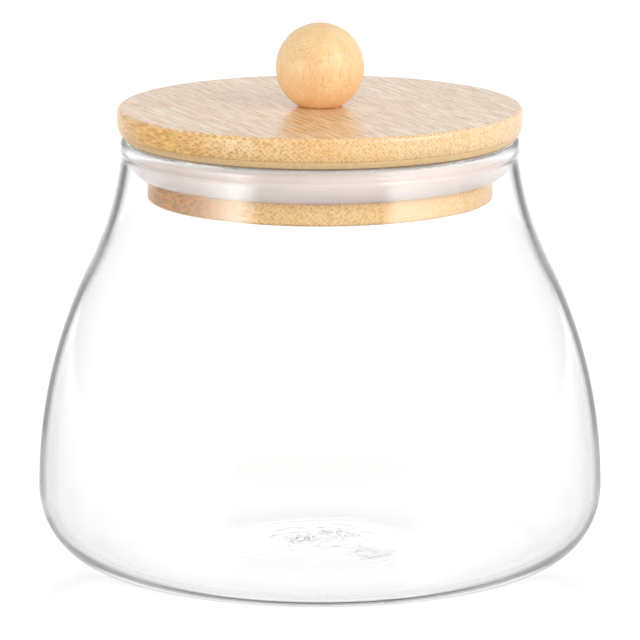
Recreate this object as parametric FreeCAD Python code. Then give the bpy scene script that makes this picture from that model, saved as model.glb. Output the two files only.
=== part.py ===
"""Lidded glass canister: a blown glass jar with a bamboo lid, a silicone seal and a wooden ball knob.

Millimetres, +Z up, origin at the centre of the base on the surface that the jar stands on.
Every piece is turned about the Z axis, so each one is an outline in radius and height, revolved.
"""

import FreeCAD
import Part

import math
import os

# Jar: the wall's line, from the throat outwards and downwards
throat_radius = 56.1  # outside of the neck, just under the rim
throat_height = 115.6
shoulder_reach = 23.9  # how far the belly stands out past the throat
belly_height = 21.0  # where the jar is widest
heel_reach = 19.3  # how far the belly stands out past the flat of the base
neck_lean = 6.5  # degrees that the wall leans in at the throat
neck_to_belly_curve = 0.66  # radius of the hollow neck curve over that of the belly curve
wall = 2.0

# Jar: base and rim
base_thickness = 3.0
foot_ring_width = 5.5  # the flat ring that the jar stands on
push_up = 1.2  # how far the base is pushed up inside the ring
rim_height = 4.9  # thickened rim above the throat
rim_proud = 0.5  # how far the rim stands out past the throat
rim_inset = 0.1  # how far the rim stands in past the neck's inner wall

# Lid: two glued bamboo boards
lid_overhang = 0.7  # lid's edge past the rim
lid_thickness = 8.8
lower_board_edge = 2.2  # how much of the lid's edge the lower board takes up
lid_top_round = 1.4
lid_edge_band = 2.2  # straight part of the edge, between its two roundings
lid_under_inset = 2.2  # how far the big lower rounding draws in

# Lid: plug under it
groove_height = 10.8  # between the lid's underside and the plug's land
groove_depth = 2.35
land_height = 6.3
land_corner = 1.0

# Seal
seal_reach = 5.1  # how far the seal's lip stands out past the plug
seal_rib_height = 4.3  # the rib above the lip, with the hollow under it
seal_rib_depth = 0.9  # that hollow
seal_shoulder = 0.25  # lower edge of the seal past the plug's land

# Ball knob
knob_radius = 12.5
knob_seat_radius = 5.75

# Screw that holds the knob
screw_radius = 2.0
screw_bite = 9.0  # thread in the knob
screw_point = 3.0
screw_head_radius = 4.0
screw_head_height = 2.4
screw_thread_depth = 0.5
cross_length = 4.6
cross_width = 1.0
cross_depth = 1.3
counterbore_depth = 5.0

# Clearances
lid_gap = 0.3  # lid's underside over the rim
seal_lip_gap = 0.2  # lip inside the rim
seal_core_gap = 0.08  # seal round the plug's core
seal_end_gap = 0.15  # seal to each end of its groove
screw_hole_gap = 0.25
screw_head_gap = 1.5
pilot_end_gap = 1.0

# Heights and radii that follow
lean = math.radians(neck_lean)
belly_radius = throat_radius + shoulder_reach
base_radius = belly_radius - heel_reach
foot_inner_radius = base_radius - foot_ring_width
rim_top = throat_height + rim_height
rim_radius = throat_radius + rim_proud
mouth_radius = throat_radius - wall * math.cos(lean) - rim_inset
lid_radius = rim_radius + lid_overhang
lid_under = rim_top + lid_gap
lid_top = lid_under + lid_thickness
lid_widest = lid_top - lid_top_round - lid_edge_band
board_joint = lid_under + lower_board_edge
seal_lip_radius = mouth_radius - seal_lip_gap
plug_radius = seal_lip_radius - seal_reach
core_radius = plug_radius - groove_depth
groove_floor = lid_under - groove_height
plug_bottom = groove_floor - land_height
counterbore_floor = plug_bottom + counterbore_depth
counterbore_radius = screw_head_radius + screw_head_gap
screw_hole_radius = screw_radius + screw_hole_gap
pilot_radius = screw_radius - screw_thread_depth
knob_centre = lid_top + math.sqrt(knob_radius**2 - knob_seat_radius**2)
screw_tip = lid_top + screw_bite


# Outline helpers


def at(radius, height):
    """A point of an outline."""
    return FreeCAD.Vector(radius, 0, height)


def line(start, end):
    return Part.LineSegment(start, end).toShape()


def polyline(*points):
    """Straight runs from point to point."""
    return [line(a, b) for a, b in zip(points, points[1:])]


def around(centre, radius, angle):
    """The point at an angle, in radians from the outward direction, on a circle."""
    return centre + at(radius * math.cos(angle), radius * math.sin(angle))


def arc(centre, radius, start, end):
    """Part of a circle between two angles."""
    angles = (start, (start + end) / 2, end)
    return Part.Arc(*[around(centre, radius, angle) for angle in angles]).toShape()


def quarter(start, corner, end):
    """A quarter of an ellipse that leaves start towards corner and reaches end from it."""
    curve = Part.BezierCurve()
    curve.setPoles([start, corner, end])
    curve.setWeight(2, math.sqrt(0.5))
    return curve.toShape()


def sweep_between(start, start_handle, end_handle, end):
    """A smooth curve with the given handles."""
    curve = Part.BezierCurve()
    curve.setPoles([start, start_handle, end_handle, end])
    return curve.toShape()


def dome(edge, middle):
    """A shallow rise from a level edge to the axis, level there too."""
    halfway = edge.x / 2
    return sweep_between(edge, at(halfway, edge.z), at(halfway, middle.z), middle)


def turned(edges):
    """The solid that a closed outline makes about the Z axis."""
    face = Part.Face(Part.Wire(edges))
    return face.revolve(FreeCAD.Vector(0, 0, 0), FreeCAD.Vector(0, 0, 1), 360)


# Jar


def body_curves():
    """Centres, radii and meeting angle of the belly's curve and the hollow neck curve above it."""
    rise = throat_height - belly_height
    ratio = neck_to_belly_curve
    square = 2 * ratio * (1 - math.cos(lean))
    middle = 2 * (shoulder_reach * (1 + ratio * math.cos(lean)) - rise * ratio * math.sin(lean))
    constant = shoulder_reach**2 + rise**2
    belly_curve = 2 * constant / (middle + math.sqrt(middle**2 + 4 * square * constant))
    neck_curve = ratio * belly_curve
    belly_centre = at(belly_radius - belly_curve, belly_height)
    neck_centre = around(at(throat_radius, throat_height), neck_curve, lean)
    across = neck_centre - belly_centre
    return belly_centre, belly_curve, neck_centre, neck_curve, math.atan2(across.z, across.x)


def jar_wall(inset):
    """The side wall from the belly up to the throat, moved in by the inset, and its throat point."""
    belly_centre, belly_curve, neck_centre, neck_curve, meeting = body_curves()
    belly = arc(belly_centre, belly_curve - inset, 0, meeting)
    neck = arc(neck_centre, neck_curve + inset, math.pi + meeting, math.pi + lean)
    return [belly, neck], around(neck_centre, neck_curve + inset, math.pi + lean)


def rim_side(throat, radius):
    """One side of the rim, from the throat to its widest or narrowest point at mid height."""
    handle = rim_height / 4
    up_the_neck = at(-math.sin(lean), math.cos(lean)) * handle
    middle = at(radius, (throat_height + rim_top) / 2)
    return sweep_between(throat, throat + up_the_neck, middle - at(0, handle), middle), middle


def glass_jar():
    outer, outer_throat = jar_wall(0)
    inner, inner_throat = jar_wall(wall)
    outer_rim, rim_out = rim_side(outer_throat, rim_radius)
    inner_rim, rim_in = rim_side(inner_throat, mouth_radius)
    crest = at((rim_radius + mouth_radius) / 2, rim_top)

    foot_inner = at(foot_inner_radius, 0)
    foot_outer = at(base_radius, 0)
    belly_outer = at(belly_radius, belly_height)
    belly_inner = at(belly_radius - wall, belly_height)
    floor_edge = at(base_radius, base_thickness)
    floor_middle = at(0, base_thickness + push_up)
    hollow_middle = at(0, push_up)

    edges = [
        line(foot_inner, foot_outer),
        quarter(foot_outer, at(belly_radius, 0), belly_outer),
        *outer,
        outer_rim,
        quarter(rim_out, at(rim_radius, rim_top), crest),
        quarter(crest, at(mouth_radius, rim_top), rim_in),
        inner_rim,
        *reversed(inner),
        quarter(belly_inner, at(belly_radius - wall, base_thickness), floor_edge),
        dome(floor_edge, floor_middle),
        line(floor_middle, hollow_middle),
        dome(foot_inner, hollow_middle),
    ]
    return turned(edges)


# Lid


def lid_edge(low, high):
    """The big rounding under the lid's edge, between two heights, with its two end points."""
    height = lid_widest - lid_under
    radius = (height**2 + lid_under_inset**2) / (2 * lid_under_inset)
    centre = at(lid_radius - radius, lid_widest)
    start, end = (math.asin((z - centre.z) / radius) for z in (low, high))
    return arc(centre, radius, start, end), around(centre, radius, start), around(centre, radius, end)


def lid_cap():
    edge, joint, widest = lid_edge(board_joint, lid_widest)
    round_start = at(lid_radius, lid_top - lid_top_round)
    round_end = at(lid_radius - lid_top_round, lid_top)
    hole_top = at(screw_hole_radius, lid_top)
    hole_bottom = at(screw_hole_radius, board_joint)
    edges = [
        edge,
        line(widest, round_start),
        quarter(round_start, at(lid_radius, lid_top), round_end),
        *polyline(round_end, hole_top, hole_bottom, joint),
    ]
    return turned(edges)


def lid_plug():
    edge, flange, joint = lid_edge(lid_under, board_joint)
    corner_start = at(plug_radius - land_corner, plug_bottom)
    corner_end = at(plug_radius, plug_bottom + land_corner)
    groove = [
        corner_end,
        at(plug_radius, groove_floor),
        at(core_radius, groove_floor),
        at(core_radius, lid_under),
        flange,
    ]
    bore = [
        joint,
        at(screw_hole_radius, board_joint),
        at(screw_hole_radius, counterbore_floor),
        at(counterbore_radius, counterbore_floor),
        at(counterbore_radius, plug_bottom),
        corner_start,
    ]
    edges = [
        quarter(corner_start, at(plug_radius, plug_bottom), corner_end),
        *polyline(*groove),
        edge,
        *polyline(*bore),
    ]
    return turned(edges)


# Seal


def seal_ring():
    low = groove_floor + seal_end_gap
    high = lid_under - seal_end_gap
    inner = core_radius + seal_core_gap
    shoulder = plug_radius + seal_shoulder
    hollow = seal_lip_radius - seal_rib_depth
    crown = seal_rib_height / 4
    lip = at(seal_lip_radius, high - seal_rib_height)
    rib = at(seal_lip_radius, high - crown)
    valley = at(hollow, (lip.z + rib.z) / 2)
    rib_end = at(hollow, high)
    up = at(0, crown)
    edges = [
        line(at(inner, low), at(shoulder, low)),
        quarter(at(shoulder, low), at(seal_lip_radius, low), lip),
        sweep_between(lip, lip + up, valley - up, valley),
        sweep_between(valley, valley + up, rib - up, rib),
        quarter(rib, at(seal_lip_radius, high), rib_end),
        *polyline(rib_end, at(inner, high), at(inner, low)),
    ]
    return turned(edges)


# Knob and its screw


def ball_knob():
    centre = at(0, knob_centre)
    seat = at(knob_seat_radius, lid_top)
    seat_angle = math.atan2(lid_top - knob_centre, knob_seat_radius)
    pilot_end = screw_tip + pilot_end_gap
    edges = [
        arc(centre, knob_radius, seat_angle, math.pi / 2),
        *polyline(
            at(0, knob_centre + knob_radius),
            at(0, pilot_end + pilot_radius),
            at(pilot_radius, pilot_end),
            at(pilot_radius, lid_top),
            seat,
        ),
    ]
    return turned(edges)


def knob_screw():
    head_low = counterbore_floor - screw_head_height
    crown = screw_head_height / 2
    edges = [
        line(at(0, head_low), at(screw_head_radius - crown, head_low)),
        quarter(
            at(screw_head_radius - crown, head_low),
            at(screw_head_radius, head_low),
            at(screw_head_radius, head_low + crown),
        ),
        *polyline(
            at(screw_head_radius, head_low + crown),
            at(screw_head_radius, counterbore_floor),
            at(screw_radius, counterbore_floor),
            at(screw_radius, screw_tip - screw_point),
            at(0, screw_tip),
            at(0, head_low),
        ),
    ]
    screw = turned(edges)
    for length, width in ((cross_length, cross_width), (cross_width, cross_length)):
        corner = FreeCAD.Vector(-length / 2, -width / 2, head_low)
        screw = screw.cut(Part.makeBox(length, width, cross_depth, corner))
    return screw.Solids[0]


# Build

pieces = {
    "glass_jar": glass_jar(),
    "lid_cap": lid_cap(),
    "lid_plug": lid_plug(),
    "seal_ring": seal_ring(),
    "ball_knob": ball_knob(),
    "knob_screw": knob_screw(),
}

os.makedirs("parts", exist_ok=True)
for name, shape in pieces.items():
    if not shape.isValid() or len(shape.Solids) != 1:
        raise ValueError(name + " is not one valid solid")
    shape.exportStep("parts/" + name + ".step")
    box = shape.optimalBoundingBox(True)
    print(f"{name}: radius {box.XMax:.2f}, from {box.ZMin:.2f} to {box.ZMax:.2f}")
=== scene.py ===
"""Dressed model of a lidded glass canister: blown glass jar, bamboo lid, silicone seal and ball knob.

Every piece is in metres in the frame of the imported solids: +Z up, origin at the centre of the jar's base.
"""

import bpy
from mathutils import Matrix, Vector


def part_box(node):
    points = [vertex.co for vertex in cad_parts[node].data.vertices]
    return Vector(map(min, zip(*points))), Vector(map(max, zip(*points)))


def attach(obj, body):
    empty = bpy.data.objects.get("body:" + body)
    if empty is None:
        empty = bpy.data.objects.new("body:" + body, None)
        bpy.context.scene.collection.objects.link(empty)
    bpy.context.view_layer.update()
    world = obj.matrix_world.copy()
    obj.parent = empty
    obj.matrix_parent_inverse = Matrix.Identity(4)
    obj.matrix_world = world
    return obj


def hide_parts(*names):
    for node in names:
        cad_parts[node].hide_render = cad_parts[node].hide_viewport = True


bl_info = {
    "name": "Lidded Glass Canister",
    "version": (1, 0, 0),
    "blender": (4, 5, 0),
    "location": "View3D > Sidebar > Canister",
    "description": "Builds the jar, lid, seal, knob and studio stage round the packed solids",
    "category": "Object",
}

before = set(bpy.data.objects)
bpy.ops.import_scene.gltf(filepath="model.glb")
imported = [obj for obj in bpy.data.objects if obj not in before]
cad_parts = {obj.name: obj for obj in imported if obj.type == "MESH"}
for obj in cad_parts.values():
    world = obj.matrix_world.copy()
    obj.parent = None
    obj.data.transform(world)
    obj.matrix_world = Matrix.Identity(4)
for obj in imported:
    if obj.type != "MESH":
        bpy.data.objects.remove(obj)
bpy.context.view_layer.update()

import math

import bmesh
import bpy
from bpy.props import FloatProperty, FloatVectorProperty, PointerProperty
from mathutils import Vector, noise
from mathutils.geometry import interpolate_bezier

MM = 0.001

JAR_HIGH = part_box("glass_jar")[1]
CAP_LOW, CAP_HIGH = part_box("lid_cap")
PLUG_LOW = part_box("lid_plug")[0]
SEAL_LOW, SEAL_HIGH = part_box("seal_ring")
KNOB_LOW, KNOB_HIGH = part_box("ball_knob")
SCREW_LOW, SCREW_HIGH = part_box("knob_screw")

# Mesh fineness
SHARP_EDGE = math.radians(32)
HOLD = 0.15 * MM  # loops that keep a flat face flat beside a rounding
JAR_SEGMENTS = 288
LID_SEGMENTS = 240
KNOB_SEGMENTS = 128
SCREW_SEGMENTS = 48
SAME_PLACE = MM / 1000  # points nearer than this are one point

# Steps along each curve of an outline
FOOT_STEPS = 16
HEEL_STEPS = 40
BELLY_STEPS = 28
NECK_STEPS = 20
RIM_STEPS = 10
CREST_STEPS = 11
FLOOR_STEPS = 110  # enough for the ripples
EDGE_STEPS = 12
ROUND_STEPS = 10
LIP_STEPS = 20
BALL_STEPS = 72
HEAD_STEPS = 8
POINT_STEPS = 20
THREAD_STEPS = 10  # in one turn

SQUARE = [(-1, -1), (1, -1), (1, 1), (-1, 1)]


# Properties


def kind_of(prop, **settings):
    """A short way to state a property of one kind by its name, default and description."""

    def state(name, default, description):
        return prop(name=name, default=default, description=description, **settings)

    return state


length = kind_of(FloatProperty, min=0.0, precision=5, unit="LENGTH")
power = kind_of(FloatProperty, min=0.0, unit="POWER")
share = kind_of(FloatProperty, min=0.0, max=1.0, subtype="FACTOR")
lens = kind_of(FloatProperty, min=1.0, unit="CAMERA")
colour = kind_of(FloatVectorProperty, min=0.0, max=1.0, subtype="COLOR")
turn_by = kind_of(FloatProperty, subtype="ANGLE")


def mm(name, millimetres, description):
    return length(name, millimetres * MM, description)


def angle(name, degrees, description):
    return turn_by(name, math.radians(degrees), description)


class JarSettings(bpy.types.PropertyGroup):
    belly_radius: length("Belly radius", JAR_HIGH.x, "Widest outside radius")
    height: length("Height", JAR_HIGH.z, "Top of the rim")
    throat_radius: mm("Throat radius", 56.1, "Outside of the neck, just under the rim")
    throat_height: mm("Throat height", 115.6, "Height at which the rim starts")
    belly_height: mm("Belly height", 21.0, "Height at which the jar is widest")
    base_radius: mm("Base radius", 60.7, "Outside of the flat foot ring")
    foot_ring: mm("Foot ring", 5.5, "Width of the flat ring that the jar stands on")
    push_up: mm("Push-up", 1.2, "How far the middle of the base is pushed up")
    base_thickness: mm("Base thickness", 3.0, "Glass in the base")
    wall: mm("Wall", 2.0, "Glass in the side wall")
    rim_proud: mm("Rim proud", 0.5, "How far the rim stands out past the throat")
    rim_inset: mm("Rim inset", 0.1, "How far the rim stands in past the neck's inner wall")
    neck_lean: angle("Neck lean", 6.5, "Inward lean of the wall at the throat")
    curve_ratio: share("Curve ratio", 0.66, "Radius of the hollow neck curve over that of the belly curve")
    ripple_height: mm("Ripple height", 0.6, "Height of the ripples in the blown floor")
    ripple_pitch: mm("Ripple pitch", 4.0, "Distance from one ripple to the next")
    ripple_reach: mm("Ripple reach", 27.0, "How far out the ripples reach")
    ripple_offset: mm("Ripple offset", 1.0, "How far the ripples' middle lies from the axis")
    wave_height: mm("Wave height", 0.03, "Unevenness of the wall")
    # The three edge bands set how far the painted shade along the glass's edges reaches
    belly_band: share("Belly edge band", 0.19, "Cosine at which the thin belly's dark edge ends")
    neck_band: share("Neck edge band", 0.275, "Cosine at which the thick neck's dark edge ends")
    heel_band: share("Heel edge band", 0.34, "Cosine at which the rounded heel's dark edge ends")
    body_tint: colour("Body tint", (0.84, 0.90, 0.88), "Colour that thick glass takes on")


class LidSettings(bpy.types.PropertyGroup):
    radius: length("Radius", CAP_HIGH.x, "Outside radius of the lid")
    top: length("Top", CAP_HIGH.z, "Height of the lid's top face")
    joint: length("Board joint", CAP_LOW.z, "Height of the glue line between the two boards")
    bottom: length("Plug bottom", PLUG_LOW.z, "Height of the plug's lower face")
    gap: mm("Rim gap", 0.3, "Clearance between the lid and the glass rim")
    top_round: mm("Top rounding", 1.4, "Rounding of the top edge")
    edge_band: mm("Edge band", 2.2, "Straight part of the edge between its roundings")
    under_inset: mm("Lower rounding", 2.2, "How far the big lower rounding draws in")
    joint_bevel: mm("Joint bevel", 0.1, "Fine groove along the glue line")
    groove_height: mm("Groove height", 10.8, "Height of the groove that holds the seal")
    groove_depth: mm("Groove depth", 2.35, "Depth of the groove that holds the seal")
    land_corner: mm("Land corner", 1.0, "Rounding of the plug's lower corner")
    counterbore: mm("Counterbore depth", 5.0, "Recess for the screw's head")
    counterbore_radius: mm("Counterbore radius", 5.5, "Radius of that recess")
    hole_radius: mm("Screw hole", 2.25, "Radius of the hole for the screw")
    ply: mm("Lower ply", 2.4, "Height of the lower board's edge that shows over the glass")
    glue: mm("Glue line", 0.16, "Half the height of the dark line between the boards")
    grain_turn: angle("Grain direction", -66.0, "Direction of the bamboo's fibres, from +X")
    light: colour("Light bamboo", (0.97, 0.66, 0.33), "Palest fibres")
    middle: colour("Middle bamboo", (0.93, 0.55, 0.21), "Main colour")
    dots: colour("Bundle colour", (0.62, 0.28, 0.045), "Dark vascular bundles")
    cap_side: colour("Cap side grain", (1.0, 0.57, 0.13), "Upper board where fibres run along the edge")
    plug_side: colour("Plug side grain", (0.60, 0.15, 0.03), "Lower board where fibres run along the edge")


class SealSettings(bpy.types.PropertyGroup):
    lip_radius: length("Lip radius", SEAL_HIGH.x, "Outside radius of the lip")
    low: length("Lower face", SEAL_LOW.z, "Height of the lower face")
    high: length("Upper face", SEAL_HIGH.z, "Height of the upper face")
    reach: mm("Reach", 5.1, "How far the lip stands out past the plug")
    rib_height: mm("Rib height", 4.3, "Height of the rib and the hollow under it")
    rib_depth: mm("Rib depth", 0.9, "Depth of the hollow under the rib")
    shoulder: mm("Shoulder", 0.25, "Lower edge past the plug's land")
    core_gap: mm("Core gap", 0.08, "Clearance round the plug's core")
    milky: colour("Milky silicone", (0.87, 0.76, 0.705), "Colour of the silicone")


class KnobSettings(bpy.types.PropertyGroup):
    radius: length("Ball radius", KNOB_HIGH.x, "Radius of the turned ball")
    top: length("Top", KNOB_HIGH.z, "Top of the ball")
    seat: length("Seat", KNOB_LOW.z, "Height of the flat that sits on the lid")
    pilot_radius: mm("Pilot radius", 1.5, "Hole for the screw's thread")
    pilot_end: mm("Pilot end", 139.6, "Height at which the pilot hole starts to close")
    light: colour("Light wood", (0.97, 0.69, 0.375), "Pale grain")
    dark: colour("Dark wood", (0.90, 0.56, 0.26), "Darker grain")


class ScrewSettings(bpy.types.PropertyGroup):
    low: length("Head face", SCREW_LOW.z, "Height of the head's lower face")
    tip: length("Tip", SCREW_HIGH.z, "Height of the point")
    head_radius: length("Head radius", SCREW_HIGH.x, "Radius of the pan head")
    head_height: mm("Head height", 2.4, "Height of the pan head")
    radius: mm("Thread radius", 2.0, "Outside of the thread")
    thread_depth: mm("Thread depth", 0.55, "Height of the thread over its core")
    pitch: mm("Thread pitch", 1.6, "Rise of the thread in one turn")
    plain_shank: mm("Plain shank", 8.0, "Unthreaded length under the head")
    point: mm("Point", 4.0, "Length of the tapered point")
    cross_length: mm("Cross length", 4.6, "Length of each slot of the recess")
    cross_width: mm("Cross width", 1.0, "Width of each slot of the recess")
    cross_depth: mm("Cross depth", 1.3, "Depth of the recess")
    zinc: colour("Zinc", (0.62, 0.62, 0.63), "Colour of the plated steel")


class StageSettings(bpy.types.PropertyGroup):
    floor_size: length("Floor size", 40.0, "Side of the square floor")
    floor_drop: mm("Floor drop", 0.05, "Gap that keeps the floor's face off the jar's foot")
    floor_colour: colour("Floor colour", (0.50, 0.50, 0.50), "Floor under the studio light")
    near_white: share("Near white", 0.56, "White that the floor adds near the jar, for eye and glass")
    far_white: share("Far white", 0.66, "White that the floor adds further out, where less light falls")
    near_reach: length("Near reach", 0.20, "Distance at which the floor starts to change")
    far_reach: length("Far reach", 1.60, "Distance at which the floor stops changing")
    world_light: share("World light", 1.0, "Level of the even light from the left")
    zenith_light: share("Zenith light", 0.56, "Share of that light that comes from straight above")
    right_light: share("Right light", 0.90, "Share of that light that comes from the right")
    left_power: power("Left softbox", 12.5, "Power of the left softbox")
    left_turn: angle("Left turn", -61.7, "Turn of the left softbox from the camera's side")
    left_width: length("Left width", 1.36, "Width of the left softbox")
    left_height: length("Left height", 0.56, "Height of the left softbox")
    left_centre: length("Left centre", 0.27, "Height of the middle of the left softbox")
    right_power: power("Right softbox", 30.0, "Power of the right softbox")
    right_turn: angle("Right turn", 62.5, "Turn of the right softbox from the camera's side")
    right_width: length("Right width", 1.47, "Width of the right softbox")
    right_height: length("Right height", 1.20, "Height of the right softbox")
    right_centre: length("Right centre", 0.62, "Height of the middle of the right softbox")
    lamp_distance: length("Softbox distance", 1.30, "From the jar's axis to each softbox")
    camera_distance: length("Camera distance", 1.600, "From the jar's axis to the camera")
    camera_height: length("Camera height", 0.38916, "Height of the camera")
    camera_pitch: angle("Camera pitch", 11.35, "How far the camera looks down")
    camera_lens: lens("Lens", 323.35, "Focal length")


# Outlines, as points of radius and height


def at(radius, height):
    return Vector((radius, height))


def around(centre, radius, turn):
    """The point at an angle, from the outward direction, on a circle."""
    return centre + radius * at(math.cos(turn), math.sin(turn))


def arc(centre, radius, start, end, steps):
    """Part of a circle between two angles."""
    return [around(centre, radius, start + (end - start) * i / steps) for i in range(steps + 1)]


def quarter(start, corner, end, steps):
    """A quarter of an ellipse that leaves start towards corner and reaches end from it."""
    turns = [math.pi / 2 * i / steps for i in range(steps + 1)]
    return [
        corner + (start - corner) * (1 - math.sin(turn)) + (end - corner) * (1 - math.cos(turn))
        for turn in turns
    ]


def bend(start, start_handle, end_handle, end, steps):
    """A smooth curve with the given handles."""
    return interpolate_bezier(start, start_handle, end_handle, end, steps + 1)


def dome(edge, middle, steps):
    """A shallow rise from a level edge to the axis, level there too."""
    halfway = edge.x / 2
    return bend(edge, at(halfway, edge.y), at(halfway, middle.y), middle, steps)


def straight(start, end):
    """A straight run with a holding point near each end."""
    hold = (end - start).normalized() * min(HOLD, (end - start).length / 4)
    return [start, start + hold, end - hold, end]


def runs(*points):
    """Straight runs from point to point."""
    return joined(*[straight(a, b) for a, b in zip(points, points[1:])])


def joined(*stretches):
    """Stretches of an outline end to end, with each shared point once."""
    outline = []
    for stretch in stretches:
        for point in stretch:
            if not outline or (point - outline[-1]).length > SAME_PLACE:
                outline.append(point)
    return outline


# Meshes


def turned(name, outline, segments, ring=False):
    """A mesh made by turning an outline about the Z axis. A ring's outline closes on itself."""
    shape = bmesh.new()
    turns = [2 * math.pi * i / segments for i in range(segments)]
    loops = []
    for radius, height in outline:
        on_axis = radius < SAME_PLACE
        spots = [(0, 0)] if on_axis else [(radius * math.cos(t), radius * math.sin(t)) for t in turns]
        loops.append([shape.verts.new((x, y, height)) for x, y in spots])
    pairs = list(zip(loops, loops[1:]))
    if ring:
        pairs.append((loops[-1], loops[0]))
    for low, high in pairs:
        for i in range(segments):
            j = i + 1
            corners = [low[i % len(low)], low[j % len(low)], high[j % len(high)], high[i % len(high)]]
            shape.faces.new(list(dict.fromkeys(corners)))
    bmesh.ops.recalc_face_normals(shape, faces=shape.faces)
    mesh = bpy.data.meshes.new(name)
    shape.to_mesh(mesh)
    shape.free()
    return mesh


def smoothed(mesh):
    """Smooth shading, apart from real corners."""
    mesh.shade_smooth()
    mesh.set_sharp_from_angle(angle=SHARP_EDGE)
    return mesh


def add_object(name, data):
    """An object in the scene."""
    made = bpy.data.objects.new(name, data)
    bpy.context.scene.collection.objects.link(made)
    return made


def add_piece(name, mesh, material, body, node):
    """Puts a finished mesh on its CAD body, in place of the CAD node that it stands for."""
    piece = add_object(name, smoothed(mesh))
    mesh.materials.append(material)
    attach(piece, body)
    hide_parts(node)


# Shader helpers


def is_socket(value):
    return isinstance(value, bpy.types.NodeSocket)


def add(kind, inputs, tree=None, **settings):
    """A node with its settings made and its inputs set or linked, in the tree of its linked inputs."""
    tree = tree or next(value.id_data for value in inputs.values() if is_socket(value))
    node = tree.nodes.new(kind)
    for name, value in settings.items():
        setattr(node, name, value)
    for name, value in inputs.items():
        if is_socket(value):
            tree.links.new(value, node.inputs[name])
        else:
            node.inputs[name].default_value = value
    return node


def maths(operation, first, second=0.0, third=0.0, clamp=False):
    """One sum of two or three values."""
    inputs = {0: first, 1: second, 2: third}
    return add("ShaderNodeMath", inputs, operation=operation, use_clamp=clamp).outputs[0]


def times(first, second):
    """Two values multiplied."""
    return maths("MULTIPLY", first, second)


def vectors(operation, first, second=(0, 0, 0), result="Vector"):
    """One sum of two vectors."""
    return add("ShaderNodeVectorMath", {0: first, 1: second}, operation=operation).outputs[result]


def apart(vector):
    """The X, Y and Z of a vector."""
    return add("ShaderNodeSeparateXYZ", {0: vector}).outputs


def spread(value, low, high, to_low=0.0, to_high=1.0):
    """A value mapped smoothly from one range to another."""
    inputs = {"Value": value, "From Min": low, "From Max": high, "To Min": to_low, "To Max": to_high}
    return add("ShaderNodeMapRange", inputs, interpolation_type="SMOOTHSTEP").outputs["Result"]


def mixed(factor, first, second, mode="MIX"):
    """Two colours mixed by a factor."""
    inputs = {0: factor, 6: first, 7: second}
    return add("ShaderNodeMix", inputs, data_type="RGBA", blend_type=mode).outputs[2]


def ramp(value, levels):
    """A grey that follows a value through a list of places and levels."""
    node = add("ShaderNodeValToRGB", {"Fac": value})
    elements = node.color_ramp.elements
    while len(elements) < len(levels):
        elements.new(1.0)
    for element, (place, level) in zip(elements, levels):
        element.position = place
        element.color = grey(level)
    return node.outputs["Color"]


def noise_cloud(place, scale, **settings):
    """Soft noise over a place."""
    inputs = {"Vector": place, "Scale": scale, **settings}
    return add("ShaderNodeTexNoise", inputs).outputs


def grey(level):
    return (level, level, level, 1.0)


def opaque(rgb):
    """A colour property with its alpha."""
    return (*rgb, 1.0)


def new_material(name):
    """An empty material, its tree and its output."""
    material = bpy.data.materials.new(name)
    material.use_nodes = True
    material.node_tree.nodes.clear()
    output = material.node_tree.nodes.new("ShaderNodeOutputMaterial")
    return material, material.node_tree, output


def principled(output, inputs):
    """The main shader of a material, linked to its output."""
    shader = add("ShaderNodeBsdfPrincipled", inputs)
    output.id_data.links.new(shader.outputs["BSDF"], output.inputs["Surface"])


def coordinates(tree):
    """Places and directions on the piece, in its own frame."""
    return tree.nodes.new("ShaderNodeTexCoord").outputs


def facing_away(tree):
    """Zero where a face looks at the eye, and one where it is seen edge on."""
    return add("ShaderNodeLayerWeight", {"Blend": 0.5}, tree).outputs["Facing"]


def turned_place(place, axis, turn):
    """A place turned about one axis."""
    inputs = {"Vector": place, "Angle": turn}
    return add("ShaderNodeVectorRotate", inputs, rotation_type=axis).outputs["Vector"]


def bump(height, strength, distance):
    """A normal from a height."""
    inputs = {"Height": height, "Strength": strength, "Distance": distance}
    return add("ShaderNodeBump", inputs).outputs["Normal"]


# Shared effects


def effect(name, fill, inputs):
    """A shared node group, filled on its first use and placed in a material with its own values."""
    group = bpy.data.node_groups.get(name)
    if group is None:
        group = bpy.data.node_groups.new(name, "ShaderNodeTree")
        for socket in inputs:
            kind = "NodeSocketVector" if socket == "Place" else "NodeSocketFloat"
            group.interface.new_socket(socket, in_out="INPUT", socket_type=kind)
        results = fill(group.nodes.new("NodeGroupInput").outputs)
        for socket in results:
            group.interface.new_socket(socket, in_out="OUTPUT", socket_type="NodeSocketFloat")
        ends = group.nodes.new("NodeGroupOutput").inputs
        for socket, value in results.items():
            group.links.new(value, ends[socket])
    return add("ShaderNodeGroup", inputs, node_tree=group).outputs


def fill_grain(given):
    parts = apart(given["Place"])
    along = maths("DIVIDE", parts["X"], given["Stretch"])
    place = add("ShaderNodeCombineXYZ", {"X": along, "Y": parts["Y"], "Z": parts["Z"]}).outputs[0]
    fibres = noise_cloud(place, given["Fineness"], Detail=3.0, Roughness=0.6)["Fac"]
    return {"Grain": spread(fibres, 0.3, 0.7)}


def long_grain(place, fineness, stretch):
    """Fine fibres that run along X."""
    inputs = {"Place": place, "Fineness": fineness, "Stretch": stretch}
    return effect("Long grain", fill_grain, inputs)["Grain"]


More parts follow.
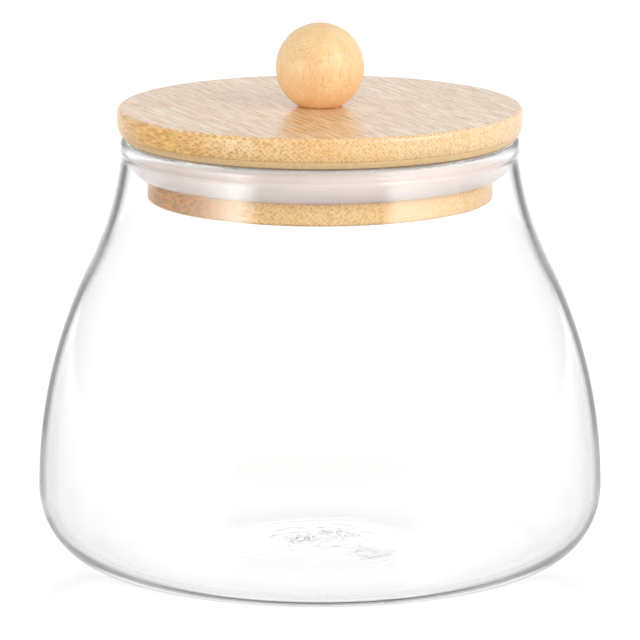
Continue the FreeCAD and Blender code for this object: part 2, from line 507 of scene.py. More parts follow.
def fill_bundles(given):
    parts = apart(given["Place"])
    slow = noise_cloud(given["Place"], 45.0, Detail=1.0)["Color"]
    drift = add("ShaderNodeSeparateColor", {0: slow}).outputs
    across = maths("MULTIPLY_ADD", drift["Red"], given["Wander"], parts["Y"])
    upward = maths("MULTIPLY_ADD", drift["Green"], given["Wander"], parts["Z"])
    place = add("ShaderNodeCombineXYZ", {"X": across, "Y": upward}).outputs[0]
    place = turned_place(place, "Z_AXIS", math.pi / 4)
    inputs = {"Vector": place, "Scale": given["Per metre"], "Randomness": 0.5}
    cells = add("ShaderNodeTexVoronoi", inputs, voronoi_dimensions="2D").outputs
    outer = times(given["Size"], 1.65)
    inner = times(given["Size"], 0.6)
    return {
        "Bundles": spread(cells["Distance"], outer, inner),
        "Shade": add("ShaderNodeSeparateColor", {0: cells["Color"]}).outputs["Red"],
        "Ground": spread(cells["Distance"], 0.42, 0.75),
    }


def vascular_bundles(place, per_metre, size, wander):
    """The dark bundles that run along X through bamboo: dots on its ends and streaks on its sides."""
    inputs = {"Place": place, "Per metre": per_metre, "Size": size, "Wander": wander}
    return effect("Vascular bundles", fill_bundles, inputs)


def fill_strips(given):
    count = maths("DIVIDE", apart(given["Place"])["Y"], given["Width"])
    whole = maths("FLOOR", count)
    tone = add("ShaderNodeTexWhiteNoise", {"W": whole}, noise_dimensions="1D").outputs["Value"]
    off_middle = maths("ABSOLUTE", maths("SUBTRACT", maths("FRACT", count), 0.5))
    return {"Tone": tone, "Seam": spread(off_middle, 0.486, 0.497)}


def board_strips(place, width):
    """The strips that a bamboo board is laid up from, side by side along X."""
    return effect("Board strips", fill_strips, {"Place": place, "Width": width})


def fill_marks(given):
    cloud = noise_cloud(given["Place"], given["Per metre"], Detail=4.0, Distortion=0.6)["Fac"]
    return {"Marks": spread(cloud, 0.4, 0.7)}


def hand_marks(place, per_metre):
    """Soft patches left by handling, which change the gloss a little."""
    return effect("Hand marks", fill_marks, {"Place": place, "Per metre": per_metre})["Marks"]


# Glass

# Painted shade of the outer face, a black coat, as places and levels
# Veil: from face on to edge on
VEIL_LEVELS = [
    (0.25, 0.0), (0.47, 0.05), (0.63, 0.12), (0.70, 0.17), (0.78, 0.19), (0.83, 0.13), (1.0, 0.14),
]
# Core and outermost line: from edge on to the inner side of the band
CORE_LEVELS = [
    (0.24, 0.0), (0.36, 0.2), (0.52, 0.42), (0.64, 0.48), (0.75, 0.44), (0.82, 0.24), (1.0, 0.0),
]
OUTER_LEVELS = [(0.0, 0.28), (0.24, 0.28), (0.40, 0.18), (0.60, 0.0)]
# Under the heel: from edge on towards face on
HEEL_LEVELS = [
    (0.08, 0.37), (0.15, 0.10), (0.19, 0.03), (0.22, 0.30), (0.25, 0.44), (0.29, 0.46),
    (0.325, 0.78), (0.35, 0.72), (0.375, 0.20), (0.40, 0.0), (0.46, 0.08), (0.52, 0.06),
]
# Painted shade on the floor's ripples: grey where the floor is seen edge on
RIPPLE_SHADE_LEVELS = [(0.80, 1.0), (0.88, 0.12)]  # light let through the floor, from face on to edge on
BAND_REACH = 1.25  # how far the core's levels run, in widths of the band
CREST_SHADE = 0.14  # least shade on top of the rim
RIM_SHADE = 0.55  # part of the neck's shade that the rim keeps


def edge_shade(tree, jar):
    """Painted shade on the outer face where it is seen edge on: a band, wider where the wall is thicker."""
    facing = facing_away(tree)
    cosine = maths("SUBTRACT", 1.0, facing)
    spots = coordinates(tree)
    place, normal = spots["Object"], spots["Normal"]
    height = apart(place)["Z"]
    upward = apart(normal)["Z"]
    throat, belly = jar.throat_height, jar.belly_height
    neck = spread(height, belly * 2, throat)
    over_belly = spread(height, belly * 1.3, belly * 2.3)
    middle = times(over_belly, spread(height, throat * 0.80, throat * 0.62))
    side_heel = spread(upward, -0.35, -0.70, 0.0, jar.heel_band - jar.belly_band)
    under_heel = spread(upward, -0.68, -0.80)
    band = maths("ADD", spread(neck, 0.0, 1.0, jar.belly_band, jar.neck_band), side_heel)
    across = maths("DIVIDE", maths("DIVIDE", cosine, band), BAND_REACH)

    veil = ramp(facing, VEIL_LEVELS)
    veil = times(veil, spread(height, throat * 0.68, throat * 0.5, 1.0, 1.4))
    depth = spread(neck, 0.0, 1.0, 0.72, 1.28)
    depth = maths("ADD", depth, spread(middle, 0.0, 1.0, 0.0, 0.34))
    core = times(ramp(across, CORE_LEVELS), depth)
    outermost = times(ramp(across, OUTER_LEVELS), maths("SUBTRACT", 1.0, neck))
    shade = maths("ADD", maths("ADD", veil, core), outermost)
    shade = mixed(under_heel, shade, ramp(cosine, HEEL_LEVELS))

    sideways = vectors("MULTIPLY", place, (1, 1, 0))
    outward = vectors("DOT_PRODUCT", normal, sideways, "Value")
    shade = times(shade, spread(outward, 0.0, jar.foot_ring))
    shade = times(shade, spread(height, throat - jar.wall, throat + jar.wall, 1.0, RIM_SHADE))
    crest = spread(height, throat, throat + jar.wall, 0.0, CREST_SHADE)
    crest = times(crest, spread(upward, 0.3, 0.8))
    inside = tree.nodes.new("ShaderNodeNewGeometry").outputs["Backfacing"]
    return times(maths("MAXIMUM", shade, crest), maths("SUBTRACT", 1.0, inside))


def clear_glass(jar):
    """Clear soda glass: painted shade where seen edge on and on the floor's ripples, clear where seen
    straight through.
    """
    material, tree, output = new_material("Clear glass")
    spots = coordinates(tree)
    place, normal = spots["Object"], spots["Normal"]
    off_axis = vectors("LENGTH", place, result="Value")
    blown_floor = spread(off_axis, jar.ripple_reach * 1.5, jar.ripple_reach * 1.2)
    # painted shade on the ripples: the level faces of the blown floor turn grey where seen edge on
    level = times(spread(apart(normal)["Z"], 0.80, 0.97), blown_floor)
    ripples = ramp(facing_away(tree), RIPPLE_SHADE_LEVELS)
    inputs = {
        "Base Color": mixed(level, grey(1.0), ripples),
        "Roughness": 0.0,
        "IOR": 1.47,
        "Transmission Weight": 1.0,
        # painted shade: a black coat darkens the glass where it is seen edge on
        "Coat Weight": edge_shade(tree, jar),
        "Coat IOR": 1.0,
        "Coat Tint": grey(0.0),
        "Normal": bump(hand_marks(place, 28.0), 0.08, 0.0002),
    }
    glass = add("ShaderNodeBsdfPrincipled", inputs).outputs["BSDF"]
    light = add("ShaderNodeBsdfTransparent", {"Color": grey(0.97)}, tree).outputs["BSDF"]
    path = tree.nodes.new("ShaderNodeLightPath").outputs
    surface = add("ShaderNodeMixShader", {0: path["Is Shadow Ray"], 1: glass, 2: light}).outputs[0]
    surface = add("ShaderNodeMixShader", {0: path["Is Diffuse Ray"], 1: surface, 2: light}).outputs[0]
    absorption = {"Color": opaque(jar.body_tint), "Density": 2.5}
    depth = add("ShaderNodeVolumeAbsorption", absorption, tree).outputs["Volume"]
    tree.links.new(surface, output.inputs["Surface"])
    tree.links.new(depth, output.inputs["Volume"])
    return material


# Wood, silicone and steel

GROUND_TINT = (1.0, 0.76, 0.45, 1)  # between the bundles
LIT_SIDE_TINT = (1.0, 0.84, 0.62, 1)  # painted light: paler towards the side of the board that the right softbox lights
TOP_SHEEN_TINT = (0.97, 0.83, 0.68, 1)  # painted sheen that pales the top face
STRIP_TINT = (0.60, 0.34, 0.13, 1)
GLUE_TINT = (0.40, 0.17, 0.07, 1)
WARM_TINT = (1.0, 0.64, 0.29, 1)
PLY_TINT = (1.0, 0.78, 0.48, 1)
GAP_SHADOW_TINT = (0.12, 0.05, 0.02, 1)  # painted shadow of the gap over the glass rim, on the lower board's bottom edge
CLOUD_TINT = (0.78, 0.69, 0.64, 1)  # clouding in the silicone
FLECK_TINT = (0.60, 0.29, 0.10, 1)  # flecks in the knob's wood
DULL_TINT = (0.48, 0.48, 0.50, 1)  # dull patches on the zinc


def bamboo(name, lid, shift, warmth, side_tint, side_flecks, lacquer):
    """Laid-up bamboo: pale fibres, darker bundles, strips that differ in tone and darker side grain."""
    material, tree, output = new_material(name)
    spots = coordinates(tree)
    place = vectors("ADD", spots["Object"], shift)
    along = turned_place(place, "Z_AXIS", -lid.grain_turn)
    fine = long_grain(along, 2300.0, 12.0)
    streak = long_grain(along, 1000.0, 8.0)
    broad = long_grain(along, 160.0, 20.0)
    flecks = long_grain(along, 1050.0, 3.0)
    lines = long_grain(along, 2400.0, 34.0)
    bundles = vascular_bundles(along, 1080.0, 0.23, 0.0008)
    strips = board_strips(along, 0.021)
    marks = hand_marks(place, 70.0)

    # Masks
    facing = apart(turned_place(spots["Normal"], "Z_AXIS", -lid.grain_turn))
    side = spread(maths("ABSOLUTE", facing["X"]), 0.72, 0.25)
    side = times(side, spread(maths("ABSOLUTE", facing["Z"]), 0.7, 0.4))
    over_joint = maths("SUBTRACT", apart(spots["Object"])["Z"], lid.joint)
    under_joint = spread(over_joint, lid.glue, -lid.glue)
    ply = times(under_joint, spread(over_joint, -lid.ply - lid.glue, -lid.ply))
    side = maths("MAXIMUM", side, times(ply, 0.08))
    # the top face, which carries fine lines and the painted sheen
    top = spread(facing["Z"], 0.80, 0.97)
    across = apart(along)["Y"]
    near_bark = spread(across, -0.8 * lid.radius, -0.2 * lid.radius, 1.0, 0.6)
    # painted light: the board paler towards the side that the right softbox lights in the main view
    lit_side = spread(across, -0.3 * lid.radius, 0.3 * lid.radius, 0.0, 0.3)
    glue = spread(maths("ABSOLUTE", over_joint), lid.glue, lid.glue / 3, 0.0, 0.4)
    # painted shadow: the lowest part of the lower board's edge darkened, where the gap over the rim is in
    # shade
    gap_shadow = times(spread(over_joint, 0.6 * MM - lid.ply, 0.3 * MM - lid.ply, 0.0, 0.75), ply)
    strokes = times(spread(streak, 0.40, 0.92, 0.0, 0.50), near_bark)
    strokes = times(strokes, spread(top, 0.0, 1.0, 1.0, 0.3))
    lines = times(top, spread(lines, 0.50, 0.72, 0.0, 0.95))
    strokes = maths("MAXIMUM", strokes, lines)
    depth = spread(bundles["Shade"], 0.0, 1.0, 0.6, 1.0)
    depth = times(times(depth, spread(streak, 0.2, 0.7, 0.5, 1.0)), near_bark)
    dark = times(bundles["Bundles"], depth)

    # Layers of colour, from the ground up
    light, dots = opaque(lid.light), opaque(lid.dots)
    side_dark = opaque(part * 0.15 for part in side_tint)
    flecks = spread(flecks, 0.36, 0.58, 0.0, side_flecks)
    layers = [
        (times(bundles["Ground"], 0.6), GROUND_TINT),
        (times(fine, 0.5), light),
        (times(side, 0.9), mixed(flecks, opaque(side_tint), side_dark)),
        # painted light on one side of the board
        (lit_side, LIT_SIDE_TINT),
        # painted sheen on the top face
        (times(top, 0.55), TOP_SHEEN_TINT),
        (strokes, dots),
        (dark, dots),
        (spread(strips["Tone"], 0.0, 1.0, 0.0, 0.14), STRIP_TINT),
        (times(strips["Seam"], 0.30), dots),
        (glue, GLUE_TINT),
        (warmth, WARM_TINT),
        (times(ply, 0.45), PLY_TINT),
        # painted shadow along the lower board's bottom edge
        (gap_shadow, GAP_SHADOW_TINT),
    ]
    base = mixed(broad, opaque(lid.middle), light)
    for factor, tint in layers:
        base = mixed(factor, base, tint)

    rough = maths("MULTIPLY_ADD", fine, 0.05, 0.12)
    relief = maths("SUBTRACT", times(fine, 0.5), maths("MAXIMUM", dark, strokes))
    inputs = {
        "Base Color": base,
        "Roughness": maths("ADD", rough, times(marks, 0.05)),
        "IOR": 1.6,
        "Specular IOR Level": lacquer,
        "Normal": bump(relief, 0.3, 0.0001),
    }
    principled(output, inputs)
    return material


def milky_silicone(seal):
    """Milky silicone: soft light inside it, a dry sheen and faint clouding."""
    material, tree, output = new_material("Milky silicone")
    place = coordinates(tree)["Object"]
    cloud = hand_marks(place, 120.0)
    skin = noise_cloud(place, 2500.0, Detail=2.0)["Fac"]
    inputs = {
        "Base Color": mixed(times(cloud, 0.25), opaque(seal.milky), CLOUD_TINT),
        "Roughness": spread(cloud, 0.0, 1.0, 0.14, 0.22),
        "IOR": 1.41,
        "Subsurface Weight": 0.7,
        "Subsurface Radius": (1.0, 0.85, 0.75),
        "Subsurface Scale": 0.0018,
        "Normal": bump(skin, 0.08, 0.00005),
    }
    principled(output, inputs)
    return material


def knob_wood(knob):
    """Pale turned wood with fine upright grain under satin lacquer."""
    material, tree, output = new_material("Turned wood")
    place = coordinates(tree)["Object"]
    upright = turned_place(place, "Y_AXIS", math.pi / 2)
    fine = long_grain(upright, 1500.0, 16.0)
    broad = long_grain(upright, 230.0, 6.0)
    flecks = long_grain(upright, 3200.0, 22.0)
    fleck = times(spread(flecks, 0.5, 0.95), 0.4)
    base = mixed(broad, opaque(knob.light), opaque(knob.dark))
    base = mixed(times(fine, 0.45), base, opaque(knob.light))
    relief = maths("SUBTRACT", fine, times(fleck, 2.0))
    inputs = {
        "Base Color": mixed(fleck, base, FLECK_TINT),
        "Roughness": spread(hand_marks(place, 90.0), 0.0, 1.0, 0.30, 0.40),
        "IOR": 1.46,
        "Normal": bump(relief, 0.10, 0.0001),
    }
    principled(output, inputs)
    return material


def zinc_steel(screw):
    """Bright zinc plate with fine turning lines and dull patches."""
    material, tree, output = new_material("Zinc steel")
    place = coordinates(tree)["Object"]
    dull = hand_marks(place, 420.0)
    inputs = {
        "Base Color": mixed(dull, opaque(screw.zinc), DULL_TINT),
        "Metallic": 1.0,
        "Roughness": maths("MULTIPLY_ADD", dull, 0.18, 0.22),
        "Normal": bump(long_grain(place, 4000.0, 1.5), 0.12, 0.00005),
    }
    principled(output, inputs)
    return material


def seen_white(tree):
    """One for what the eye, a reflection or glass sees, and zero for what only gives light."""
    path = tree.nodes.new("ShaderNodeLightPath").outputs
    seen = maths("ADD", path["Is Camera Ray"], path["Is Glossy Ray"])
    return maths("ADD", seen, path["Is Transmission Ray"], clamp=True)


def studio_floor(stage):
    """Pale polished table that keeps the jar's shadow and a faint mirror image."""
    material, tree, output = new_material("Studio floor")
    distance = vectors("LENGTH", coordinates(tree)["Object"], result="Value")
    white = spread(distance, stage.near_reach, stage.far_reach, stage.near_white, stage.far_white)
    inputs = {
        "Base Color": opaque(stage.floor_colour),
        "Roughness": 0.06,
        "Specular IOR Level": 0.06,
        "Emission Color": grey(1.0),
        "Emission Strength": times(seen_white(tree), white),
    }
    principled(output, inputs)
    return material


# Jar


def body_curves(jar):
    """Centres, radii and meeting angle of the belly's curve and the hollow neck curve above it."""
    rise = jar.throat_height - jar.belly_height
    reach = jar.belly_radius - jar.throat_radius
    lean = jar.neck_lean
    ratio = jar.curve_ratio
    square = 2 * ratio * (1 - math.cos(lean))
    middle = 2 * (reach * (1 + ratio * math.cos(lean)) - rise * ratio * math.sin(lean))
    constant = reach**2 + rise**2
    belly_curve = 2 * constant / (middle + math.sqrt(middle**2 + 4 * square * constant))
    neck_curve = ratio * belly_curve
    belly_centre = at(jar.belly_radius - belly_curve, jar.belly_height)
    neck_centre = around(at(jar.throat_radius, jar.throat_height), neck_curve, lean)
    across = neck_centre - belly_centre
    return belly_centre, belly_curve, neck_centre, neck_curve, math.atan2(across.y, across.x)


def jar_wall(jar, inset):
    """The side wall from the belly up to the throat, moved in by the inset."""
    belly_centre, belly_curve, neck_centre, neck_curve, meeting = body_curves(jar)
    belly = arc(belly_centre, belly_curve - inset, 0, meeting, BELLY_STEPS)
    start, end = math.pi + meeting, math.pi + jar.neck_lean
    neck = arc(neck_centre, neck_curve + inset, start, end, NECK_STEPS)
    return joined(belly, neck)


def rim_side(jar, throat, radius):
    """One side of the rim, from the throat to its widest or narrowest point at mid height."""
    handle = (jar.height - jar.throat_height) / 4
    up_the_neck = at(-math.sin(jar.neck_lean), math.cos(jar.neck_lean)) * handle
    middle = at(radius, (jar.throat_height + jar.height) / 2)
    return bend(throat, throat + up_the_neck, middle - at(0, handle), middle, RIM_STEPS)


def jar_outline(jar):
    """The whole section of the jar, from the axis under the base round to the axis on the floor."""
    foot_inner = at(jar.base_radius - jar.foot_ring, 0)
    foot_outer = at(jar.base_radius, 0)
    hollow_middle = at(0, jar.push_up)
    belly_inner = jar.belly_radius - jar.wall
    floor_edge = at(jar.base_radius, jar.base_thickness)
    floor_middle = at(0, jar.base_thickness + jar.push_up)

    outer = jar_wall(jar, 0)
    inner = jar_wall(jar, jar.wall)
    rim_radius = jar.throat_radius + jar.rim_proud
    mouth_radius = jar.throat_radius - jar.wall * math.cos(jar.neck_lean) - jar.rim_inset
    crest = at((rim_radius + mouth_radius) / 2, jar.height)
    outer_rim = rim_side(jar, outer[-1], rim_radius)
    inner_rim = rim_side(jar, inner[-1], mouth_radius)
    return joined(
        reversed(dome(foot_inner, hollow_middle, FOOT_STEPS)),
        straight(foot_inner, foot_outer),
        quarter(foot_outer, at(jar.belly_radius, 0), outer[0], HEEL_STEPS),
        outer,
        outer_rim,
        quarter(outer_rim[-1], at(rim_radius, jar.height), crest, CREST_STEPS),
        quarter(crest, at(mouth_radius, jar.height), inner_rim[-1], CREST_STEPS),
        reversed(inner_rim),
        reversed(inner),
        quarter(inner[0], at(belly_inner, jar.base_thickness), floor_edge, HEEL_STEPS),
        dome(floor_edge, floor_middle, FLOOR_STEPS),
    )


# Where the blowing iron left the floor roughest, from the middle
ROUGH_SPOTS = [at(-4.5 * MM, 3.0 * MM), at(15.0 * MM, -19.0 * MM), at(6.0 * MM, 9.0 * MM)]
ROUGH_REACH = 1.4  # of each spot, in ripples
RING_BREAKS = 2.4  # the larger, the more often a ring breaks on its way round
PATCHES = 4.4  # patches of ripples, from the middle out to their reach
PATCH_SHIFT = Vector((5, 2, 0))
WAVES_PER_METRE = 26.0  # in the wall


def floor_ripple(jar, x, y):
    """Height of the floor's ripples: broken rings round a point beside the middle, and rough spots."""
    place = Vector((x + jar.ripple_offset, y, 0))
    distance = place.length
    fade = math.exp(-2.0 * (distance / jar.ripple_reach) ** 2)
    turn = place.normalized() * RING_BREAKS if distance > 0 else Vector()
    rings = Vector((turn.x, turn.y, 2 * distance / jar.ripple_pitch))
    patches = 0.25 + 2.0 * max(0.0, noise.noise(place / jar.ripple_reach * PATCHES + PATCH_SHIFT))
    ripples_off = [(at(x, y) - spot).length / jar.ripple_pitch for spot in ROUGH_SPOTS]
    rough = sum(math.exp(-((off / ROUGH_REACH) ** 2)) for off in ripples_off)
    return jar.ripple_height * noise.noise(rings) * (0.6 * fade * patches + 2.0 * rough)


def uneven_glass(mesh, jar):
    """Ripples in the floor and slow waves in the wall, as blown glass has."""
    for vertex in mesh.vertices:
        x, y, z = vertex.co
        radius = math.hypot(x, y)
        if radius < jar.base_radius * 0.9 and z > jar.base_thickness / 2:
            vertex.co.z += floor_ripple(jar, x, y)
        elif jar.belly_height < z < jar.throat_height:
            wave = max(0.0, noise.noise(vertex.co * WAVES_PER_METRE) * jar.wave_height)
            vertex.co.x -= wave * x / radius
            vertex.co.y -= wave * y / radius


class CANISTER_OT_jar(bpy.types.Operator):
    """Build the blown glass jar"""

    bl_idname = "canister.jar"
    bl_label = "Glass jar"

    def execute(self, context):
        jar = context.scene.canister_jar
        mesh = turned("glass_jar_blown", jar_outline(jar), JAR_SEGMENTS)
        uneven_glass(mesh, jar)
        add_piece("glass_jar_blown", mesh, clear_glass(jar), "jar", "glass_jar")
        return {"FINISHED"}


# Lid


def lid_under(context):
    """Height of the lid's underside, over the glass rim."""
    return context.scene.canister_jar.height + context.scene.canister_lid.gap


def lid_edge(lid, under, low, high):
    """The big rounding under the lid's edge, between two heights."""
    widest = lid.top - lid.top_round - lid.edge_band
    height = widest - under
    radius = (height**2 + lid.under_inset**2) / (2 * lid.under_inset)
    centre = at(lid.radius - radius, widest)
    start, end = (math.asin((z - centre.y) / radius) for z in (low, high))
    return arc(centre, radius, start, end, EDGE_STEPS)


def cap_outline(lid, under):
    """The upper board: rounded edge, flat top, screw hole and glued face."""
    widest = lid.top - lid.top_round - lid.edge_band
    edge = lid_edge(lid, under, lid.joint + lid.joint_bevel, widest)
    round_start = at(lid.radius, lid.top - lid.top_round)
    round_end = at(lid.radius - lid.top_round, lid.top)
    hole_top = at(lid.hole_radius, lid.top)
    hole_bottom = at(lid.hole_radius, lid.joint)
    joint = at(edge[0].x - lid.joint_bevel, lid.joint)
    return joined(
        edge,
        straight(edge[-1], round_start),
        quarter(round_start, at(lid.radius, lid.top), round_end, ROUND_STEPS),
        runs(round_end, hole_top, hole_bottom, joint),
    )


def plug_outline(lid, seal, under):
    """The lower board: flange, seal groove, land, counterbore and screw hole."""
    edge = lid_edge(lid, under, under, lid.joint - lid.joint_bevel)
    joint = at(edge[-1].x - lid.joint_bevel, lid.joint)
    plug_radius = seal.lip_radius - seal.reach
    core_radius = plug_radius - lid.groove_depth
    groove_floor = under - lid.groove_height
    corner_start = at(plug_radius - lid.land_corner, lid.bottom)
    corner_end = at(plug_radius, lid.bottom + lid.land_corner)
    recess = lid.bottom + lid.counterbore
    return joined(
        quarter(corner_start, at(plug_radius, lid.bottom), corner_end, ROUND_STEPS),
        runs(
            corner_end,
            at(plug_radius, groove_floor),
            at(core_radius, groove_floor),
            at(core_radius, under),
            edge[0],
        ),
        edge,
        runs(
            edge[-1],
            joint,
            at(lid.hole_radius, lid.joint),
            at(lid.hole_radius, recess),
            at(lid.counterbore_radius, recess),
            at(lid.counterbore_radius, lid.bottom),
            corner_start,
        ),
    )


class CANISTER_OT_boards(bpy.types.Operator):
    """Build the two bamboo boards of the lid"""

    bl_idname = "canister.boards"
    bl_label = "Bamboo boards"

    def execute(self, context):
        lid = context.scene.canister_lid
        under = lid_under(context)
        cap = turned("lid_cap_bamboo", cap_outline(lid, under)[:-1], LID_SEGMENTS, ring=True)
        finish = bamboo(
            "Bamboo cap",
            lid,
            shift=(0.0, 0.0, 0.0),
            warmth=0.0,
            side_tint=lid.cap_side,
            side_flecks=0.25,
            lacquer=0.5,
        )
        add_piece("lid_cap_bamboo", cap, finish, "lid", "lid_cap")
        outline = plug_outline(lid, context.scene.canister_seal, under)[:-1]
        plug = turned("lid_plug_bamboo", outline, LID_SEGMENTS, ring=True)
        finish = bamboo(
            "Bamboo plug",
            lid,
            shift=(-0.021, -0.013, 0.021),
            warmth=0.26,
            side_tint=lid.plug_side,
            side_flecks=0.95,
            lacquer=0.02,
        )
        add_piece("lid_plug_bamboo", plug, finish, "lid", "lid_plug")
        return {"FINISHED"}


# Seal


def seal_outline(seal, lid):
    """The ring in the plug's groove: round shoulder, lip, hollow and upper rib."""
    plug_radius = seal.lip_radius - seal.reach
    inner = plug_radius - lid.groove_depth + seal.core_gap
    shoulder = plug_radius + seal.shoulder
    hollow = seal.lip_radius - seal.rib_depth
    crown = seal.rib_height / 4
    lip = at(seal.lip_radius, seal.high - seal.rib_height)
    rib = at(seal.lip_radius, seal.high - crown)
    valley = at(hollow, (lip.y + rib.y) / 2)
    rib_end = at(hollow, seal.high)
    up = at(0, crown)
    return joined(
        straight(at(inner, seal.low), at(shoulder, seal.low)),
        quarter(at(shoulder, seal.low), at(seal.lip_radius, seal.low), lip, LIP_STEPS),
        bend(lip, lip + up, valley - up, valley, ROUND_STEPS),
        bend(valley, valley + up, rib - up, rib, ROUND_STEPS),
        quarter(rib, at(seal.lip_radius, seal.high), rib_end, ROUND_STEPS),
        runs(rib_end, at(inner, seal.high), at(inner, seal.low)),
    )


class CANISTER_OT_seal(bpy.types.Operator):
    """Build the silicone seal ring"""

    bl_idname = "canister.seal"
    bl_label = "Silicone seal"

    def execute(self, context):
        seal = context.scene.canister_seal
        outline = seal_outline(seal, context.scene.canister_lid)[:-1]
        ring = turned("seal_ring_silicone", outline, LID_SEGMENTS, ring=True)
        add_piece("seal_ring_silicone", ring, milky_silicone(seal), "seal", "seal_ring")
        return {"FINISHED"}


# Knob and its screw


def knob_outline(knob):
    """The turned ball, from its flat seat over the top and down the pilot hole."""
    centre = at(0, knob.top - knob.radius)
    seat_angle = math.asin((knob.seat - centre.y) / knob.radius)
    seat = around(centre, knob.radius, seat_angle)
    ball = arc(centre, knob.radius, math.pi / 2, seat_angle, BALL_STEPS)
    return joined(
        ball,
        runs(
            seat,
            at(knob.pilot_radius, knob.seat),
            at(knob.pilot_radius, knob.pilot_end),
            at(0, knob.pilot_end + knob.pilot_radius),
        ),
    )


class CANISTER_OT_knob(bpy.types.Operator):
    """Build the turned ball knob"""

    bl_idname = "canister.knob"
    bl_label = "Ball knob"

    def execute(self, context):
        knob = context.scene.canister_knob
        ball = turned("ball_knob_turned", knob_outline(knob), KNOB_SEGMENTS)
        add_piece("ball_knob_turned", ball, knob_wood(knob), "lid", "ball_knob")
        return {"FINISHED"}


def screw_outline(screw):
    """The screw without its thread: pan head, shank and point."""
    crown = screw.head_height / 2
    shoulder = screw.low + screw.head_height
    steps = int((screw.tip - screw.point - shoulder) / screw.pitch * THREAD_STEPS)
    shank_end = at(screw.radius, screw.tip - screw.point)
    shank_start = at(screw.radius, shoulder)
    shank = [shank_start.lerp(shank_end, i / steps) for i in range(steps + 1)]
    tip = [shank_end.lerp(at(0, screw.tip), i / POINT_STEPS) for i in range(POINT_STEPS + 1)]
    return joined(
        straight(at(0, screw.low), at(screw.head_radius - crown, screw.low)),
        quarter(
            at(screw.head_radius - crown, screw.low),
            at(screw.head_radius, screw.low),
            at(screw.head_radius, screw.low + crown),
            HEAD_STEPS,
        ),
        runs(
            at(screw.head_radius, screw.low + crown),
            at(screw.head_radius, shoulder),
            shank_start,
        ),
        shank,
        tip,
    )


THREAD_SLOPE = 2.6  # how steeply the thread's sides fall
DEEPEST_CUT = 0.6  # part of the radius, near the point
RECESS_TAPER = 0.7


def cut_thread(mesh, screw):
    """Draws the shank in between the turns of a helical thread."""
    start = screw.low + screw.head_height + screw.plain_shank
    for vertex in mesh.vertices:
        x, y, z = vertex.co
        radius = math.hypot(x, y)
        if z < start or radius < SAME_PLACE:
            continue
        turn = math.atan2(y, x) / (2 * math.pi)
        phase = ((z - start) / screw.pitch - turn) % 1.0
        valley = min(1.0, abs(phase - 0.5) * THREAD_SLOPE)
        run_in = min(1.0, (z - start) / screw.pitch)
        drawn_in = min(screw.thread_depth * valley * run_in, radius * DEEPEST_CUT)
        vertex.co.x -= drawn_in * x / radius
        vertex.co.y -= drawn_in * y / radius


def cross_cutter(screw):
    """The tool that leaves the cross recess: two slots that narrow towards their floor."""
    shape = bmesh.new()
    for long_x in (True, False):
        half = (screw.cross_length / 2, screw.cross_width / 2)
        half_x, half_y = half if long_x else reversed(half)
        rings = []
        for height, scale in ((-screw.cross_depth, 1.0), (screw.cross_depth, RECESS_TAPER)):
            corners = [(x * half_x * scale, y * half_y * scale, screw.low + height) for x, y in SQUARE]
            rings.append([shape.verts.new(corner) for corner in corners])
        low, high = rings
        shape.faces.new(reversed(low))
        shape.faces.new(high)
        for i in range(4):
            shape.faces.new((low[i], low[i - 3], high[i - 3], high[i]))
    mesh = bpy.data.meshes.new("cross_cutter")
    bmesh.ops.recalc_face_normals(shape, faces=shape.faces)
    shape.to_mesh(mesh)
    shape.free()
    return mesh


def cut_by(mesh, cutter_mesh):
    """The mesh with the cutter taken out of it."""
    body = add_object("blank", mesh)
    cutter = add_object("cutter", cutter_mesh)
    cut = body.modifiers.new("recess", "BOOLEAN")
    cut.object = cutter
    cut.operation = "DIFFERENCE"
    cut.solver = "EXACT"
    cut.use_self = True
    evaluated = body.evaluated_get(bpy.context.evaluated_depsgraph_get())
    result = bpy.data.meshes.new_from_object(evaluated)
    bpy.data.objects.remove(body)
    bpy.data.objects.remove(cutter)
    return result


class CANISTER_OT_screw(bpy.types.Operator):
    """Build the wood screw that holds the knob"""

    bl_idname = "canister.screw"
    bl_label = "Knob screw"

    def execute(self, context):
        screw = context.scene.canister_screw
        blank = turned("knob_screw_blank", screw_outline(screw), SCREW_SEGMENTS)
        cut_thread(blank, screw)
        mesh = cut_by(blank, cross_cutter(screw))
        if not mesh.polygons:
            raise RuntimeError("the cross recess left no screw")
        add_piece("knob_screw_zinc", mesh, zinc_steel(screw), "lid", "knob_screw")
        return {"FINISHED"}


# Stage

GLASS_BOUNCES = 256  # light runs far inside the wall before it leaves the glass
SIDE_REACH = 0.8  # how far to each side the world's light changes

# Brightness across each softbox, from one side to the other, and up it
LEFT_ACROSS = [
    (0.0, 0.04), (0.15, 0.08), (0.33, 0.20), (0.54, 0.55),
    (0.68, 1.0), (0.77, 1.0), (0.88, 0.5), (1.0, 0.0),
]
LEFT_UP = [(0.0, 0.2), (0.12, 1.0), (0.70, 1.0), (1.0, 0.1)]
RIGHT_ACROSS = [(0.0, 0.0), (0.14, 0.8), (0.20, 1.0), (1.0, 0.1)]
RIGHT_UP = [(0.0, 0.2), (0.12, 0.65), (0.30, 0.7), (0.45, 1.0), (0.70, 1.0), (1.0, 0.1)]


def add_floor(stage):
    half = stage.floor_size / 2
    mesh = bpy.data.meshes.new("studio_floor")
    mesh.from_pydata([(x * half, y * half, -stage.floor_drop) for x, y in SQUARE], [], [(0, 1, 2, 3)])
    mesh.materials.append(studio_floor(stage))
    floor = add_object("studio_floor", mesh)


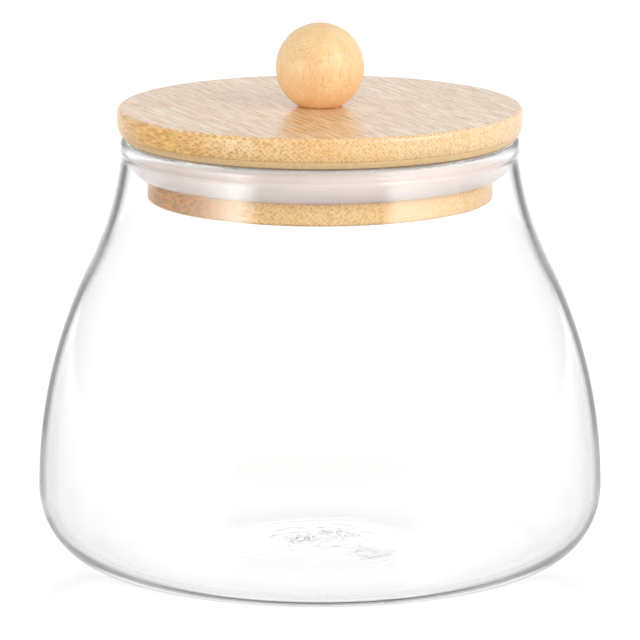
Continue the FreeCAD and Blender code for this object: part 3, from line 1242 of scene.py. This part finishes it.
def add_softbox(name, stage, side, across_levels, up_levels):
    """A softbox beside the camera, turned towards the jar, brighter on some parts than on others."""
    turn, width, height, centre, watts = (
        getattr(stage, f"{side}_{key}") for key in ("turn", "width", "height", "centre", "power")
    )
    light = bpy.data.lights.new(name, "AREA")
    light.shape = "RECTANGLE"
    light.size = width
    light.size_y = height
    light.energy = watts
    light.use_nodes = True
    tree = light.node_tree
    tree.nodes.clear()
    place = tree.nodes.new("ShaderNodeNewGeometry").outputs["Parametric"]
    parts = apart(place)
    across = ramp(parts["X"], across_levels)
    level = mixed(1.0, across, ramp(parts["Y"], up_levels), "MULTIPLY")
    glow = add("ShaderNodeEmission", {"Color": level}).outputs["Emission"]
    tree.links.new(glow, tree.nodes.new("ShaderNodeOutputLight").inputs["Surface"])

    lamp = add_object(name, light)
    side_step = Vector((math.sin(turn), -math.cos(turn), 0)) * stage.lamp_distance
    lamp.location = side_step + Vector((0, 0, centre))
    target = Vector((0, 0, JAR_HIGH.z / 2))
    lamp.rotation_euler = (target - lamp.location).to_track_quat("-Z", "Y").to_euler()


def add_world(stage):
    """White to the eye and the glass, and a little darker as a light."""
    world = bpy.data.worlds.new("Studio white")
    world.use_nodes = True
    tree = world.node_tree
    tree.nodes.clear()
    parts = apart(coordinates(tree)["Generated"])
    zenith = stage.world_light * stage.zenith_light
    light = spread(parts["Z"], 0.0, 1.0, stage.world_light, zenith)
    light = times(light, spread(parts["X"], -SIDE_REACH, SIDE_REACH, 1.0, stage.right_light))
    level = maths("MAXIMUM", seen_white(tree), light)
    white = add("ShaderNodeBackground", {"Color": grey(1.0), "Strength": level})
    output = tree.nodes.new("ShaderNodeOutputWorld")
    tree.links.new(white.outputs[0], output.inputs["Surface"])
    bpy.context.scene.world = world


def add_camera(stage):
    data = bpy.data.cameras.new("Camera")
    data.lens = stage.camera_lens
    camera = add_object("Camera", data)
    camera.location = (0, -stage.camera_distance, stage.camera_height)
    camera.rotation_euler = (math.pi / 2 - stage.camera_pitch, 0, 0)
    bpy.context.scene.camera = camera


class CANISTER_OT_stage(bpy.types.Operator):
    """Set up the floor, the lights and the camera"""

    bl_idname = "canister.stage"
    bl_label = "Studio stage"

    def execute(self, context):
        stage = context.scene.canister_stage
        add_floor(stage)
        add_softbox("Softbox left", stage, "left", LEFT_ACROSS, LEFT_UP)
        add_softbox("Softbox right", stage, "right", RIGHT_ACROSS, RIGHT_UP)
        add_world(stage)
        add_camera(stage)
        context.scene.view_settings.view_transform = "Standard"
        for limit in ("max_bounces", "glossy_bounces", "transmission_bounces"):
            setattr(context.scene.cycles, limit, GLASS_BOUNCES)
        return {"FINISHED"}


# Panel

SETTINGS = {
    "canister_jar": JarSettings,
    "canister_lid": LidSettings,
    "canister_seal": SealSettings,
    "canister_knob": KnobSettings,
    "canister_screw": ScrewSettings,
    "canister_stage": StageSettings,
}
STEPS = {
    "canister_jar": CANISTER_OT_jar,
    "canister_lid": CANISTER_OT_boards,
    "canister_seal": CANISTER_OT_seal,
    "canister_knob": CANISTER_OT_knob,
    "canister_screw": CANISTER_OT_screw,
    "canister_stage": CANISTER_OT_stage,
}


class CANISTER_PT_panel(bpy.types.Panel):
    """Lists the canister's pieces with their sizes and colours"""

    bl_idname = "CANISTER_PT_panel"
    bl_label = "Lidded canister"
    bl_space_type = "VIEW_3D"
    bl_region_type = "UI"
    bl_category = "Canister"

    def draw(self, context):
        for name, step in STEPS.items():
            box = self.layout.box()
            box.operator(step.bl_idname)
            settings = getattr(context.scene, name)
            for key in SETTINGS[name].__annotations__:
                box.prop(settings, key)


CLASSES = [*SETTINGS.values(), *STEPS.values(), CANISTER_PT_panel]


def register():
    for cls in CLASSES:
        bpy.utils.register_class(cls)
    for name, settings in SETTINGS.items():
        setattr(bpy.types.Scene, name, PointerProperty(type=settings))


def unregister():
    for name in SETTINGS:
        delattr(bpy.types.Scene, name)
    for cls in reversed(CLASSES):
        bpy.utils.unregister_class(cls)


def main():
    register()
    bpy.ops.canister.jar()
    bpy.ops.canister.boards()
    bpy.ops.canister.seal()
    bpy.ops.canister.knob()
    bpy.ops.canister.screw()
    bpy.ops.canister.stage()


if __name__ == "__main__":
    main()
